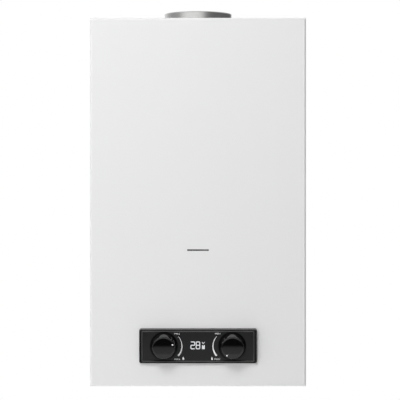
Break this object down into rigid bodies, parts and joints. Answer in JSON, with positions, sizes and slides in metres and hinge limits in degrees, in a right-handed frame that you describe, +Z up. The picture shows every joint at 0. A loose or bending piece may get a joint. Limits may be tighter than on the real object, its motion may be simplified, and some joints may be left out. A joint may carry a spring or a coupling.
{
  "type": "gas water heater",
  "caption": "Wall-hung flow-through gas water heater: white folded steel cover, flue collar on top, black control panel with rotary knobs and display, copper heat exchanger over a burner.",
  "frame": {"origin": "on the wall plane at the back of the back plate, midway between the two hanging keyholes", "axes": "+X to the right seen from the front, +Y into the wall, +Z up"},
  "size_m": [0.3436, 0.1908, 0.6035],
  "materials": {
    "white_enamel": "white baked enamel on folded steel sheet, semi-gloss",
    "zinc_sheet": "zinc-coated steel sheet, dull",
    "flue_steel": "rolled steel collar with a faint brushed grain",
    "stainless": "plain stainless or plated steel",
    "copper": "bare copper, slightly heat-tinted",
    "brass": "cast or turned brass",
    "aluminium": "die-cast aluminium, fine blasted",
    "panel_black": "glossy black moulding",
    "knob_black": "black moulding, satin sides and a polished face",
    "dark_plastic": "dark moulded plastic, fine grain",
    "white_plastic": "off-white moulded casing",
    "ceramic": "glazed white ceramic",
    "lead_red": "red silicone-insulated lead",
    "lead_white": "white silicone-insulated lead",
    "rubber": "black moulded rubber",
    "cell_jacket": "plain printed cell jacket",
    "board_green": "solder-masked circuit board",
    "display_dark": "dark filter in front of lit segments",
    "sight_glass": "clear heat-resistant glass"
  },
  "bodies": {
    "heater": {"front_cover": "white_enamel", "back_plate": "zinc_sheet", "cover_screws": "stainless", "flue_collar": "flue_steel", "draft_hood": "zinc_sheet", "flue_sensor": "dark_plastic", "chamber_shell": "copper", "heat_fins": "copper", "fin_tubes": "copper", "chamber_coil": "copper", "cold_riser": "copper", "hot_pipe": "copper", "pipe_nuts": "brass", "overheat_cutout": "dark_plastic", "water_temp_sensor": "dark_plastic", "upper_bracket": "zinc_sheet", "burner_bracket": "zinc_sheet", "valve_bracket": "zinc_sheet", "burner_frame": "zinc_sheet", "burner_bars": "stainless", "gas_manifold": "aluminium", "injectors": "brass", "gas_riser": "aluminium", "gas_valve_body": "aluminium", "gas_solenoid": "dark_plastic", "gas_inlet_union": "brass", "water_valve_body": "brass", "water_valve_cover": "brass", "diaphragm": "rubber", "diaphragm_screws": "stainless", "relief_valve": "brass", "cold_inlet_union": "brass", "hot_outlet_union": "brass", "flow_switch": "dark_plastic", "electrode_insulators": "ceramic", "electrode_rods": "stainless", "ignition_lead": "lead_red", "sensor_lead": "lead_white", "solenoid_lead": "lead_red", "battery_lead": "lead_white", "display_lead": "lead_white", "ignition_controller": "white_plastic", "battery_box": "dark_plastic", "battery_cells": "cell_jacket", "battery_contacts": "stainless", "panel_bezel": "panel_black", "panel_fascia": "panel_black", "display_board": "board_green", "display_module": "display_dark", "sight_glass": "sight_glass", "sight_clip": "zinc_sheet"},
    "gas_control": {"gas_knob": "knob_black", "gas_spindle": "brass"},
    "water_control": {"water_knob": "knob_black", "water_spindle": "brass"},
    "battery_flap": {"battery_door": "dark_plastic", "door_pin": "stainless"},
    "push_rod": {"push_rod": "stainless"}
  },
  "joints": [
    {"name": "gas_knob_turn", "type": "hinge", "parent": "heater", "child": "gas_control", "pos_m": [-0.0535, -0.16, -0.4535], "axis": [0, -1, 0], "range_deg": [-78, 24]},
    {"name": "water_knob_turn", "type": "hinge", "parent": "heater", "child": "water_control", "pos_m": [0.0535, -0.16, -0.4535], "axis": [0, -1, 0], "range_deg": [-102, 0]},
    {"name": "battery_door_hinge", "type": "hinge", "parent": "heater", "child": "battery_flap", "pos_m": [-0.1275, -0.0039, -0.5145], "axis": [1, 0, 0], "range_deg": [0, 90]},
    {"name": "push_rod_slide", "type": "slide", "parent": "heater", "child": "push_rod", "axis": [-1, 0, 0], "range_m": [0, 0.004], "stiffness_N_per_m": 200}
  ]
}
